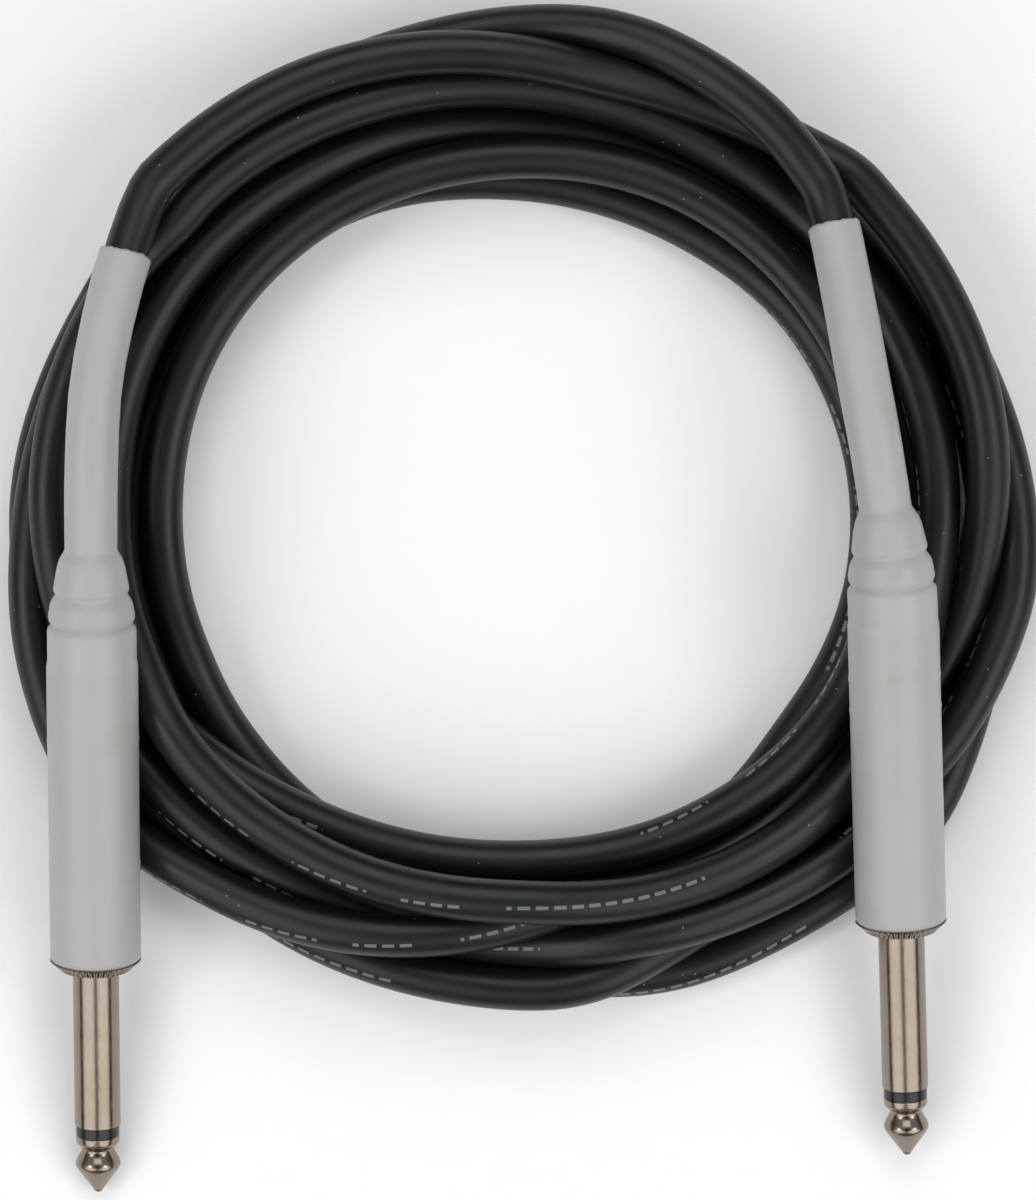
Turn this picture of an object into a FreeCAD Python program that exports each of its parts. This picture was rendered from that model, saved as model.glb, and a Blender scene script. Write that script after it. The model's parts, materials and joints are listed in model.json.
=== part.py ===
import FreeCAD, Part
import math
import os

from FreeCAD import Matrix, Placement, Vector

# Instrument cable: a coiled screened lead with a straight 6.35 mm phone plug on each end.
# Each plug's handle and the first stretch of cable behind it are covered by one shrunk sleeve.
# Millimetres. +Z is up from the table the cable lies on, +Y runs from the plugs' tips towards
# the coil, and the origin is on the table, under the middle of the box around the two plugs.
#
# A plug is built along its own axis: u is the distance from the front face of its collar,
# positive towards the tip and negative towards the cable. Profiles are lists of (radius, u).

# ---- Clearance between nested pieces, on the radius
FIT = 0.03

# ---- Cable
CABLE_R = 3.0
SHIELD_R = 1.55
CORE_R = 1.25
CONDUCTOR_R = 0.45

# ---- Coil: the outer shape that the turns fill
COIL_CENTRE = Vector(2.77, 26.94, 0)
COIL_INNER_R = 42.5
COIL_OUTER_R = 72.5
COIL_HEIGHT = 17.0
COIL_LOW_EDGE_R = 2.8
COIL_HIGH_EDGE_R = 8.0
COIL_TO_PLUG_GAP = 0.3

# ---- Plug pin: the standard 6.35 mm phone plug
PIN_R = 3.175
PIN_SLEEVE_LENGTH = 22.6
RING_R = 3.0
RING_LENGTH = 1.5
TIP_LENGTH = 8.4
TIP_COLLAR_R = 3.0
TIP_COLLAR_LENGTH = 0.8
TIP_GROOVE_R = 2.25
TIP_GROOVE_AT = 1.95
TIP_BULGE_R = 3.1
TIP_BULGE_AT = 4.2
TIP_NOSE_R = 0.6
ROD_R = 1.0
ROD_HEAD_R = 1.7
ROD_HEAD_LENGTH = 0.7
INSULATOR_R = 1.7

# ---- Plug body: collar, thread boss, handle and strain relief
COLLAR_R = 6.25
COLLAR_FACE_R = 4.9
COLLAR_LENGTH = 1.3
THREAD_R = 4.7
THREAD_LENGTH = 7.0
THREAD_PITCH = 1.0
THREAD_DEPTH = 0.25
HANDLE_R = 5.65
HANDLE_LENGTH = 41.8
HANDLE_REAR_R = 5.5
HANDLE_REAR_LENGTH = 5.1
HANDLE_END_WALL = 1.6
CABLE_HOLE_GAP = 0.3
LINER_WALL = 0.3
LINER_END_GAP = 1.0
RELIEF_LENGTH = 9.2
RELIEF_BUMPS = [(0.3, 5.05), (1.8, 5.25), (4.0, 4.45), (5.8, 4.35), (8.2, 3.75)]
RELIEF_WALL_AT_END = 0.45

# ---- Shrunk sleeve over handle and cable
SHRINK_WALL = 0.6
NECK_TAPER_LENGTH = 1.0
NECK_LENGTH = 41.6

# ---- Inside the handle: lugs, washer, solder and the stripped cable
LUG_T = 0.5
GROUND_DISC_TO_LINER_GAP = 0.53
GROUND_ARM_WIDTH = 3.0
CLAMP_LENGTH = 5.0
CLAMP_OPENING_DEG = 60.0
WASHER_R = 3.0
WASHER_T = 0.8
TIP_DISC_R = 2.3
TIP_TAG_WIDTH = 2.4
TIP_TAG_DROP_AT = 2.4
TIP_TAG_LENGTH = 7.7
TIP_SOLDER_R = 1.5
GROUND_SOLDER_R = 0.95
JACKET_STRIP_LENGTH = 18.0
CORE_STRIP_LENGTH = 9.0
CONDUCTOR_START_GAP = 3.2
CORE_DEPTH_IN_JACKET = 14.0
SHIELD_STUB = 1.5
TAIL_R = 0.5
TAIL_LENGTH = 7.5
CLAMP_BEHIND_JACKET_END = 3.0

# ---- Where each plug lies: the plan position of its collar face, its turn, its dip, and how
# far its lowest point is above the table
# The route's points follow the cable from the neck of the sleeve to its first turn of the
# coil, from the coil's centre, with the height above the table.
PLUGS = {
    "left": {
        "face": (-58.1, -63.0),
        "turn_deg": -0.4,
        "dip_deg": 13.5,
        "lift": 0.0,
        "bend_at": 8.5,
        "route": [(-57.6, 20.5, 26.0), (-52.3, 42.5, 21.6), (-42.0, 52.0, 13.6)],
    },
    "right": {
        "face": (52.6, -57.6),
        "turn_deg": 2.4,
        "dip_deg": 13.0,
        "lift": 2.0,
        "bend_at": 6.2,
        "route": [(46.3, 18.5, 25.6), (42.6, 42.0, 19.8), (33.6, 54.5, 13.6)],
    },
}

# ---- Places along the plug that follow from the sizes above
RING_FRONT = PIN_SLEEVE_LENGTH + RING_LENGTH
TIP_END = RING_FRONT + TIP_LENGTH
BOSS_END = -COLLAR_LENGTH - THREAD_LENGTH
GROUND_DISC_END = BOSS_END - LUG_T
WASHER_END = GROUND_DISC_END - WASHER_T
TIP_DISC_END = WASHER_END - LUG_T
ROD_END = TIP_DISC_END - ROD_HEAD_LENGTH
HANDLE_BORE_R = THREAD_R + FIT
GROUND_DISC_R = HANDLE_BORE_R - LINER_WALL - GROUND_DISC_TO_LINER_GAP
HANDLE_STEP = -COLLAR_LENGTH - HANDLE_LENGTH
HANDLE_END = HANDLE_STEP - HANDLE_REAR_LENGTH
RELIEF_END = HANDLE_END - RELIEF_LENGTH
NECK_START = RELIEF_END - NECK_TAPER_LENGTH
JACKET_BORE_R = SHIELD_R + FIT
CLAMP_R = CABLE_R + FIT
JACKET_END = ROD_END - JACKET_STRIP_LENGTH
CORE_END = ROD_END - CORE_STRIP_LENGTH
CONDUCTOR_END = ROD_END - CONDUCTOR_START_GAP
CORE_BACK = JACKET_END - CORE_DEPTH_IN_JACKET
TAG_LOW = CONDUCTOR_R + 0.05


def turned(profile):
    """Solid of the closed (radius, u) outline turned about the plug's axis."""
    points = [Vector(r, 0, u) for r, u in profile]
    face = Part.Face(Part.makePolygon(points + points[:1]))
    return face.revolve(Vector(0, 0, 0), Vector(0, 0, 1), 360)


def tube(outer_r, inner_r, front, back):
    """Straight tube about the plug's axis, or a rod where the inner radius is zero."""
    solid = Part.makeCylinder(outer_r, front - back, Vector(0, 0, back))
    if inner_r > 0:
        solid = solid.cut(Part.makeCylinder(inner_r, front - back, Vector(0, 0, back)))
    return solid


def block(x_width, y_low, y_high, front, back):
    """Box centred across the plug, between two heights above its axis."""
    corner = Vector(-x_width / 2, y_low, back)
    return Part.makeBox(x_width, y_high - y_low, front - back, corner)


def extruded(outline, width):
    """Solid of a closed (height, u) outline, centred across the plug."""
    points = [Vector(-width / 2, y, u) for y, u in outline]
    return Part.Face(Part.makePolygon(points + points[:1])).extrude(Vector(width, 0, 0))


def route_edges(points):
    """Straight runs joined by tangent arcs, each arc as large as its two runs allow."""
    edges, start = [], points[0]
    for before, corner, after in zip(points, points[1:], points[2:]):
        run_in, run_out = corner - before, after - corner
        turn = run_in.getAngle(run_out)
        radius = 0.45 * min(run_in.Length, run_out.Length) / math.tan(turn / 2)
        reach = radius * math.tan(turn / 2)
        way_in, way_out = Vector(run_in).normalize(), Vector(run_out).normalize()
        arc_start, arc_end = corner - way_in * reach, corner + way_out * reach
        inward = (way_out - way_in).normalize()
        middle = corner + inward * (radius / math.cos(turn / 2) - radius)
        print(f"bend radius {radius:.1f} mm, turn {math.degrees(turn):.1f} degrees")
        edges.append(Part.LineSegment(start, arc_start).toShape())
        edges.append(Part.Arc(arc_start, middle, arc_end).toShape())
        start = arc_end
    edges.append(Part.LineSegment(start, points[-1]).toShape())
    return edges


def swept(edges, radius):
    """Round bar of one radius along a chain of tangent edges."""
    first = edges[0]
    start = first.valueAt(first.FirstParameter)
    way = first.tangentAt(first.FirstParameter)
    ring = Part.Wire([Part.Circle(start, way, radius).toShape()])
    bar = Part.Wire(edges).makePipeShell([ring], True, False)
    length = sum(edge.Length for edge in edges)
    wanted = math.pi * radius * radius * length
    print(f"bar of {length:.1f} mm: volume {bar.Volume / wanted:.4f} of section x length")
    return bar


# ---- The pieces of one plug, along its own axis


def tip_contact():
    """Tip that the jack's spring grips, turned in one with the rod that runs back."""
    ball_end = TIP_BULGE_AT + 0.9
    outline = [
        (0, TIP_END),
        (TIP_NOSE_R, TIP_END),
        (TIP_BULGE_R - 0.3, RING_FRONT + ball_end),
        (TIP_BULGE_R, RING_FRONT + TIP_BULGE_AT + 0.2),
        (TIP_BULGE_R - 0.08, RING_FRONT + TIP_BULGE_AT - 0.4),
        (TIP_GROOVE_R, RING_FRONT + TIP_GROOVE_AT + 0.2),
        (TIP_GROOVE_R, RING_FRONT + TIP_GROOVE_AT - 0.2),
        (TIP_COLLAR_R, RING_FRONT + TIP_COLLAR_LENGTH),
        (TIP_COLLAR_R, RING_FRONT),
        (ROD_R, RING_FRONT),
        (ROD_R, TIP_DISC_END),
        (ROD_HEAD_R, TIP_DISC_END),
        (ROD_HEAD_R, ROD_END),
        (0, ROD_END),
    ]
    return turned(outline), outline


def tip_insulator():
    """Black ring between tip and sleeve, in one with the tube around the rod."""
    bore = ROD_R + FIT
    return turned(
        [
            (bore, RING_FRONT),
            (RING_R, RING_FRONT),
            (RING_R, PIN_SLEEVE_LENGTH),
            (INSULATOR_R, PIN_SLEEVE_LENGTH),
            (INSULATOR_R, GROUND_DISC_END),
            (bore, GROUND_DISC_END),
        ]
    )


def sleeve_contact():
    """Pin sleeve, chamfered collar and the threaded boss that the handle screws onto."""
    bore = INSULATOR_R + FIT
    outline = [
        (bore, PIN_SLEEVE_LENGTH),
        (PIN_R, PIN_SLEEVE_LENGTH),
        (PIN_R, 0),
        (COLLAR_FACE_R, 0),
        (COLLAR_R, -COLLAR_LENGTH),
        (THREAD_R, -COLLAR_LENGTH),
    ]
    for turn in range(int(THREAD_LENGTH / THREAD_PITCH) - 1):
        crest = -COLLAR_LENGTH - (turn + 0.5) * THREAD_PITCH
        outline += [(THREAD_R, crest), (THREAD_R - THREAD_DEPTH, crest - THREAD_PITCH / 2)]
    outline += [
        (THREAD_R, BOSS_END + THREAD_PITCH / 2),
        (THREAD_R, BOSS_END),
        (bore, BOSS_END),
    ]
    return turned(outline)


def ground_lug():
    """Washer and arm that carry the screen's tail, with the claws that grip the cable."""
    low = -CLAMP_R - LUG_T
    clamp_front = JACKET_END - CLAMP_BEHIND_JACKET_END
    clamp_back = clamp_front - CLAMP_LENGTH
    disc = tube(GROUND_DISC_R, INSULATOR_R + FIT, BOSS_END, GROUND_DISC_END)
    arm = block(GROUND_ARM_WIDTH, low, -CLAMP_R, BOSS_END, clamp_back)
    claws = tube(CLAMP_R + LUG_T, CLAMP_R, clamp_front, clamp_back)
    half_gap = math.radians(CLAMP_OPENING_DEG / 2)
    far = 2 * CLAMP_R
    wedge = [
        Vector(0, 0, clamp_back),
        Vector(far * math.sin(half_gap), far * math.cos(half_gap), clamp_back),
        Vector(-far * math.sin(half_gap), far * math.cos(half_gap), clamp_back),
    ]
    opening = Part.Face(Part.makePolygon(wedge + wedge[:1])).extrude(
        Vector(0, 0, clamp_front - clamp_back)
    )
    lug = disc.fuse([arm, claws.cut(opening)]).removeSplitter()
    return lug.cut(tube(CLAMP_R, 0, clamp_front, clamp_back))


def lug_washer():
    """Insulating washer that keeps the two lugs apart."""
    return tube(WASHER_R, ROD_R + FIT, GROUND_DISC_END, WASHER_END)


def tip_lug():
    """Solder tag riveted under the rod's head, bent down to the middle of the cable."""
    bend = WASHER_END - TIP_TAG_DROP_AT
    end = WASHER_END - TIP_TAG_LENGTH
    high, low = TIP_DISC_R, TAG_LOW
    tag = extruded(
        [
            (high - LUG_T, WASHER_END),
            (high, WASHER_END),
            (high, bend),
            (low + LUG_T, bend - 1.2),
            (low + LUG_T, end),
            (low, end),
            (low, bend - 1.0),
            (high - LUG_T, bend + 0.2),
        ],
        TIP_TAG_WIDTH,
    )
    disc = tube(TIP_DISC_R, ROD_R + FIT, WASHER_END, TIP_DISC_END)
    head = tube(ROD_HEAD_R + FIT, 0, TIP_DISC_END, ROD_END - FIT)
    return disc.fuse(tag).removeSplitter().cut(head).cut(tube(ROD_R + FIT, 0, 0, ROD_END))


def conductor():
    """Bare end of the inner conductor, from the tag back into the cable."""
    return tube(CONDUCTOR_R, 0, CONDUCTOR_END, CORE_BACK)


def core_insulation():
    """Insulation of the inner conductor."""
    return tube(CORE_R, CONDUCTOR_R + FIT, CORE_END, CORE_BACK)


def screen():
    """Copper screen of the cable, with its tail twisted and laid on the ground lug's arm."""
    braid = tube(SHIELD_R, CORE_R + FIT, JACKET_END + SHIELD_STUB, CORE_BACK)
    start = Vector(0, -(CORE_R + TAIL_R + FIT), JACKET_END + SHIELD_STUB / 2)
    end = Vector(0, -(CLAMP_R - TAIL_R - FIT), JACKET_END + TAIL_LENGTH)
    way = end - start
    tail = Part.makeCylinder(TAIL_R, way.Length, start, way)
    return braid.fuse([tail, Part.makeSphere(TAIL_R, start)]).removeSplitter()


def solder(radius, centre, through):
    """Blob of solder around the pieces it joins."""
    blob = Part.makeSphere(radius, centre)
    for piece in through:
        blob = blob.cut(piece)
    return blob


def handle():
    """Metal handle, screwed onto the boss, with a hole for the cable in its rear wall."""
    bore = tube(HANDLE_BORE_R, 0, 0, HANDLE_END + HANDLE_END_WALL)
    hole = tube(CABLE_R + CABLE_HOLE_GAP, 0, 0, HANDLE_END)
    body = turned(
        [
            (0, -COLLAR_LENGTH),
            (HANDLE_R, -COLLAR_LENGTH),
            (HANDLE_R, HANDLE_STEP),
            (HANDLE_REAR_R, HANDLE_STEP - 0.5),
            (HANDLE_REAR_R, HANDLE_END),
            (0, HANDLE_END),
        ]
    )
    return body.cut(bore).cut(hole)


def liner():
    """Insulating tube between the handle and the soldered joints."""
    outer = HANDLE_BORE_R - FIT
    front = WASHER_END
    back = HANDLE_END + HANDLE_END_WALL + LINER_END_GAP
    return tube(outer, outer - LINER_WALL, front, back)


def relief_profile():
    """Outline of the strain relief's ribs, from the handle's end to its own."""
    ribs = [(r, HANDLE_END - along) for along, r in RELIEF_BUMPS]
    return ribs + [(CABLE_R + RELIEF_WALL_AT_END, RELIEF_END)]


def strain_relief():
    """Ribbed plastic bush behind the handle, around the cable."""
    bore = CABLE_R + FIT
    profile = relief_profile()
    first_r = profile[0][0]
    return turned([(bore, HANDLE_END), (first_r, HANDLE_END)] + profile + [(bore, RELIEF_END)])


def shrink_sleeve(neck_edges):
    """Sleeve shrunk over handle and strain relief, and on down the cable as a neck."""
    under = [
        (HANDLE_R, -COLLAR_LENGTH),
        (HANDLE_R, HANDLE_STEP),
        (HANDLE_REAR_R, HANDLE_STEP - 0.5),
        (HANDLE_REAR_R, HANDLE_END),
    ]
    under += relief_profile() + [(CABLE_R, NECK_START)]
    inner = [(r + FIT, u) for r, u in under]
    outer = [(r + SHRINK_WALL, u) for r, u in reversed(under)]
    neck = swept(neck_edges, CABLE_R + SHRINK_WALL).cut(swept(neck_edges, CABLE_R + FIT))
    return turned(inner + outer), neck


# ---- Placing a plug on the table


def plug_placement(spot, outline):
    """Placement that lays the plug nose down, with its lowest point at its own lift."""
    turn, dip = math.radians(spot["turn_deg"]), math.radians(spot["dip_deg"])
    level, drop = math.cos(dip), math.sin(dip)
    ahead = Vector(math.sin(turn) * level, -math.cos(turn) * level, -drop)
    across = Vector(math.cos(turn), math.sin(turn), 0)
    up = ahead.cross(across)
    low = max(r * level + u * drop for r, u in outline if u > 0) + spot["lift"]
    face = COIL_CENTRE + Vector(spot["face"][0], spot["face"][1], low)
    return Placement(
        Matrix(
            across.x, up.x, ahead.x, face.x,
            across.y, up.y, ahead.y, face.y,
            across.z, up.z, ahead.z, face.z,
            0, 0, 0, 1,
        )
    )  # fmt: skip


def cable_route(spot, place):
    """Edges of the cable from its stripped end to the coil, and those inside the neck."""
    on_axis = [place.multVec(Vector(0, 0, u)) for u in (JACKET_END, NECK_START)]
    way = (on_axis[1] - on_axis[0]).normalize()
    bend = on_axis[1] + way * spot["bend_at"]
    far = [COIL_CENTRE + Vector(*point) for point in spot["route"]]
    edges = route_edges([on_axis[0], bend] + far)
    first_arc = edges[1].valueAt(edges[1].FirstParameter)
    neck = [Part.LineSegment(on_axis[1], first_arc).toShape()]
    left_over = NECK_LENGTH - neck[0].Length
    for edge in edges[1:]:
        if left_over <= 0:
            break
        last = edge.getParameterByLength(min(left_over, edge.Length))
        neck.append(edge.Curve.toShape(edge.FirstParameter, last))
        left_over -= neck[-1].Length
    return edges, neck


def plug_pieces(side, spot):
    """All the placed pieces at one end of the cable."""
    tip, outline = tip_contact()
    place = plug_placement(spot, outline)
    route, neck_edges = cable_route(spot, place)
    tag, wire, lug, tail = tip_lug(), conductor(), ground_lug(), screen()
    tail_end = JACKET_END + TAIL_LENGTH
    tip_joint = Vector(0, TAG_LOW, WASHER_END - TIP_TAG_LENGTH + TIP_SOLDER_R)
    ground_joint = Vector(0, -(CLAMP_R - TAIL_R), tail_end)
    turned_sleeve, neck = shrink_sleeve(neck_edges)
    pieces = {
        "tip_contact": tip,
        "tip_insulator": tip_insulator(),
        "sleeve_contact": sleeve_contact(),
        "ground_lug": lug,
        "lug_washer": lug_washer(),
        "tip_lug": tag,
        "tip_solder": solder(TIP_SOLDER_R, tip_joint, [tag, wire]),
        "ground_solder": solder(GROUND_SOLDER_R, ground_joint, [lug, tail]),
        "conductor": wire,
        "core_insulation": core_insulation(),
        "screen": tail,
        "liner": liner(),
        "handle": handle(),
        "strain_relief": strain_relief(),
    }
    placed = {}
    for name, shape in pieces.items():
        shape.Placement = place
        placed[f"{side}_{name}"] = shape
    turned_sleeve.Placement = place
    placed[f"{side}_shrink_sleeve"] = turned_sleeve.fuse(neck).removeSplitter()
    bore = tube(JACKET_BORE_R, 0, JACKET_END, CORE_BACK)
    bore.Placement = place
    placed[f"{side}_cable_end"] = swept(route, CABLE_R).cut(bore)
    return placed, outer_shape(place, neck_edges)


def outer_shape(place, neck_edges):
    """Bar that holds a whole plug with its gap, to be cut from the coil below it."""
    grow = COIL_TO_PLUG_GAP + SHRINK_WALL
    body = turned(
        [
            (0, TIP_END),
            (PIN_R + grow, TIP_END),
            (PIN_R + grow, 0),
            (COLLAR_R + COIL_TO_PLUG_GAP, 0),
            (COLLAR_R + COIL_TO_PLUG_GAP, HANDLE_END),
            (CABLE_R + grow, NECK_START),
            (0, NECK_START),
        ]
    )
    body.Placement = place
    return [body, swept(neck_edges, CABLE_R + grow)]


def cable_coil(hollows):
    """Ring that the loose turns fill, flat below, with hollows under the two plugs."""
    low, high = COIL_LOW_EDGE_R, COIL_HIGH_EDGE_R
    inner, outer, top = COIL_INNER_R, COIL_OUTER_R, COIL_HEIGHT
    slant = math.sqrt(0.5)

    def corner(centre_r, centre_z, radius, way_r, way_z):
        middle = Vector(centre_r + way_r * radius * slant, 0, centre_z + way_z * radius * slant)
        side = Vector(centre_r + way_r * radius, 0, centre_z)
        cap = Vector(centre_r, 0, centre_z + way_z * radius)
        return (side, middle, cap) if way_r * way_z > 0 else (cap, middle, side)

    arcs = [
        corner(outer - high, top - high, high, 1, 1),
        corner(inner + high, top - high, high, -1, 1),
        corner(inner + low, low, low, -1, -1),
        corner(outer - low, low, low, 1, -1),
    ]
    edges = []
    for arc, following in zip(arcs, arcs[1:] + arcs[:1]):
        edges.append(Part.Arc(*arc).toShape())
        edges.append(Part.LineSegment(arc[2], following[0]).toShape())
    ring = Part.Face(Part.Wire(edges)).revolve(Vector(0, 0, 0), Vector(0, 0, 1), 360)
    ring.translate(COIL_CENTRE)
    for hollow in hollows:
        ring = ring.cut(hollow)
    return ring


def main():
    nodes, hollows = {}, []
    for side, spot in PLUGS.items():
        placed, hollow = plug_pieces(side, spot)
        nodes.update(placed)
        hollows += hollow
    nodes["cable_coil"] = cable_coil(hollows)
    os.makedirs("parts", exist_ok=True)
    low, high = Vector(1e9, 1e9, 1e9), Vector(-1e9, -1e9, -1e9)
    for name, shape in nodes.items():
        print(f"{name}: {len(shape.Solids)} solid, {shape.Volume:.1f} mm3, valid {shape.isValid()}")
        shape.exportStep(f"parts/{name}.step")
        if name.endswith(("cable_coil", "cable_end")):
            continue
        box = shape.BoundBox
        low = Vector(min(low.x, box.XMin), min(low.y, box.YMin), min(low.z, box.ZMin))
        high = Vector(max(high.x, box.XMax), max(high.y, box.YMax), max(high.z, box.ZMax))
    print(f"plugs' box {low} to {high}, middle {(low + high) * 0.5}")


main()
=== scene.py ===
"""Instrument cable on a pale table: a loose coil of black lead with a phone plug on each end.

Lengths are millimetres until a mesh is made, where they become metres. A plug is described
along its own axis: u runs from the front face of its collar, positive towards the tip and
negative towards the cable.
"""
import json
import math

import bmesh
import bpy
import numpy as np
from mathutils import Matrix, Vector


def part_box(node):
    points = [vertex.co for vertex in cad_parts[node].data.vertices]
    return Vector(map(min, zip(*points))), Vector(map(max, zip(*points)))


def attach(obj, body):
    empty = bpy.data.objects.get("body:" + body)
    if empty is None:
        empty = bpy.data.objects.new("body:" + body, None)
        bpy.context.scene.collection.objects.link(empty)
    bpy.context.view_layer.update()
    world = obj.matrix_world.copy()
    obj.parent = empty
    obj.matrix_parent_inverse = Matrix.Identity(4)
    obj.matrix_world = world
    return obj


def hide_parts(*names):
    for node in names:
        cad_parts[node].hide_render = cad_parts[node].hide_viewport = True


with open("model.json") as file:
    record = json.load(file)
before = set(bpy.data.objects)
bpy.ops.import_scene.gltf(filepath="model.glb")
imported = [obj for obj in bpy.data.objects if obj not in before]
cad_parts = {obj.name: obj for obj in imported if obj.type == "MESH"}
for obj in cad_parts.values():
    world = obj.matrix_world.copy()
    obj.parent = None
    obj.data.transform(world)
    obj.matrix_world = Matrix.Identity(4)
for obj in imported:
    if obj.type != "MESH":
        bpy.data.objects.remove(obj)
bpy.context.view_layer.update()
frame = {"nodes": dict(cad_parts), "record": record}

MM = 0.001
SIDES = ("left", "right")

# Cable
CABLE_R = 3.0
CABLE_SIDES = 24

# Plug, as the frame's nodes have it
PIN_R = 3.175
PIN_LENGTH = 22.6
PIN_BORE_R = 1.73
ROD_R = 1.0
FIT = 0.03
RING_R = 3.0
RING_FRONT = 24.1
TIP_COLLAR_R = 3.0
TIP_END = 32.5
COLLAR_LENGTH = 1.3
COLLAR_FACE_R = 4.9
COLLAR_R = 6.25
THREAD_R = 4.7
THREAD_DEPTH = 0.25
THREAD_PITCH = 1.0
BOSS_END = -8.3
GROUND_DISC_END = -8.8
ROD_END = -10.8
ROD_HEAD_LENGTH = 0.7
ROD_HEAD_R = 1.7
JACKET_END = -28.8
HANDLE_R = 5.65
HANDLE_STEP = -43.1
HANDLE_REAR_R = 5.5
HANDLE_END = -48.2
# Under the sleeve's wall behind the handle: how far behind its end, and the radius there
RELIEF_BUMPS = [
    (0.5, 4.8), (1.2, 5.32), (2.0, 5.28), (3.4, 5.05), (4.1, 4.72), (4.7, 4.25),
    (5.3, 4.62), (6.6, 4.4), (8.3, 4.1), (9.5, 3.75),
]  # fmt: skip

# Sleeve
NECK_START = -58.4
NECK_LENGTH = {"left": 41.6, "right": 40.3}
SLEEVE_WALL = 0.6

# Cable between each sleeve's neck and the coil, from the coil's centre, with how far behind
# the neck's start the cable begins to bend
BEND_AT = {"left": 7.5, "right": -2.0}
ROUTE = {
    "left": [(-57.0, 19.5, 26.0), (-51.4, 42.0, 21.6)],
    "right": [(46.3, 18.5, 25.6), (42.6, 42.0, 19.8)],
}

# How the turns were laid. Angles run clockwise from the coil's left side, and the
# cable goes round from the left plug to the right one. Each row is one turn's radius at
# every STATION_DEG, starting at STATION_DEG.
STATION_DEG = 30
STATIONS = 360 // STATION_DEG
TURN_RADII = [
    [66.2, 65.2, 62.4, 61.7, 64.7, 65.2, 61.4, 62.3, 64.3, 65.4, 67.7, 67.8],
    [63.5, 62.2, 61.8, 62.8, 63.7, 65.2, 66.4, 65.9, 63.4, 60.3, 56.8, 54.2],
    [51.7, 49.2, 46.1, 45.9, 48.6, 50.8, 50.8, 52.8, 54.0, 52.1, 50.6, 49.4],
    [49.4, 49.0, 48.8, 49.7, 50.3, 51.0, 51.7, 50.0, 48.5, 50.4, 54.9, 58.5],
    [60.7, 61.5, 62.1, 62.8, 63.8, 66.6, 67.2, 62.7, 59.8, 60.6, 63.0, 64.3],
    [63.2, 60.6, 58.0, 56.7, 57.5, 58.4, 59.3, 57.2, 53.8, 54.8, 56.8, 56.1],
    [56.7, 55.6, 52.8, 53.0, 53.8, 54.6, 56.1, 56.0, 57.7, 63.5, 69.0, 66.1],
    [62.8, 63.3, 64.6, 62.8, 55.6],
]
# Which turn lies on which at each of those angles, from the table up
TURN_ORDER = [
    "32574861", "32574861", "32574861", "32574618", "3257461", "3251746",
    "3217546", "3217456", "3421576", "3421567", "3241567", "2146375",
]  # fmt: skip
# Where the first turn begins, and where the last one ends
FIRST_DEG = 40
LAST_DEG = 2655


def find_places():
    """The coil's centre, and each plug's face centre and axes, all from the frame."""
    low, high = (np.array(corner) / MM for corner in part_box("cable_coil"))
    centre = np.array([(low[0] + high[0]) / 2, (low[1] + high[1]) / 2, 0.0])
    plugs = {}
    for side in SIDES:
        mount = next(m for m in frame["record"]["mounts"] if m["name"] == side + "_pin")
        ahead = np.array(mount["axis"]) / np.linalg.norm(mount["axis"])
        across = np.cross([0.0, 0.0, 1.0], ahead)
        across = across / np.linalg.norm(across)
        face = np.array(mount["pos_m"]) / MM - ahead * PIN_LENGTH / 2
        plugs[side] = {"face": face, "across": across, "up": np.cross(ahead, across), "ahead": ahead}
    return centre, plugs


COIL_CENTRE, PLUGS = find_places()


def on_axis(side, u):
    """Points on a plug's axis at u, which may be an array."""
    return PLUGS[side]["face"] + np.multiply.outer(u, PLUGS[side]["ahead"])


# ---- Meshes


def skin(name, grid, along, wraps=False, sharp_deg=None):
    """Surface over a (rows, sides, 3) grid of rings, joined around, and end to end if it wraps.

    A ring that has shrunk to a point becomes a pole. The corners' UV is the row's value of
    `along` (one more value than rows if it wraps) and the share of the way around.
    """
    rows, sides = grid.shape[:2]
    steps = rows if wraps else rows - 1
    row, side = np.meshgrid(np.arange(steps), np.arange(sides), indexing="ij")
    corner_row = np.stack([row, row, row + 1, row + 1], -1)
    corner_side = np.stack([side, side + 1, side + 1, side], -1)
    faces = (corner_row % rows) * sides + corner_side % sides
    uv = np.stack([np.asarray(along, float)[corner_row], corner_side / sides], -1)
    mesh = bpy.data.meshes.new(name)
    mesh.vertices.add(rows * sides)
    mesh.vertices.foreach_set("co", (grid * MM).ravel())
    mesh.loops.add(faces.size)
    mesh.loops.foreach_set("vertex_index", faces.ravel())
    mesh.polygons.add(faces.size // 4)
    mesh.polygons.foreach_set("loop_start", np.arange(0, faces.size, 4))
    mesh.polygons.foreach_set("use_smooth", np.ones(faces.size // 4, bool))
    mesh.update(calc_edges=True)
    mesh.uv_layers.new(name="along_around").data.foreach_set("uv", uv.ravel())
    close_up(mesh)
    if sharp_deg:
        mesh.set_sharp_from_angle(angle=math.radians(sharp_deg))
    obj = bpy.data.objects.new(name, mesh)
    bpy.context.scene.collection.objects.link(obj)
    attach(obj, "root")
    return obj


def close_up(mesh):
    """Merges the points of each pole and turns every face outwards."""
    work = bmesh.new()
    work.from_mesh(mesh)
    bmesh.ops.remove_doubles(work, verts=work.verts, dist=1e-7)
    bmesh.ops.recalc_face_normals(work, faces=work.faces)
    work.to_mesh(mesh)
    work.free()


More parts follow.
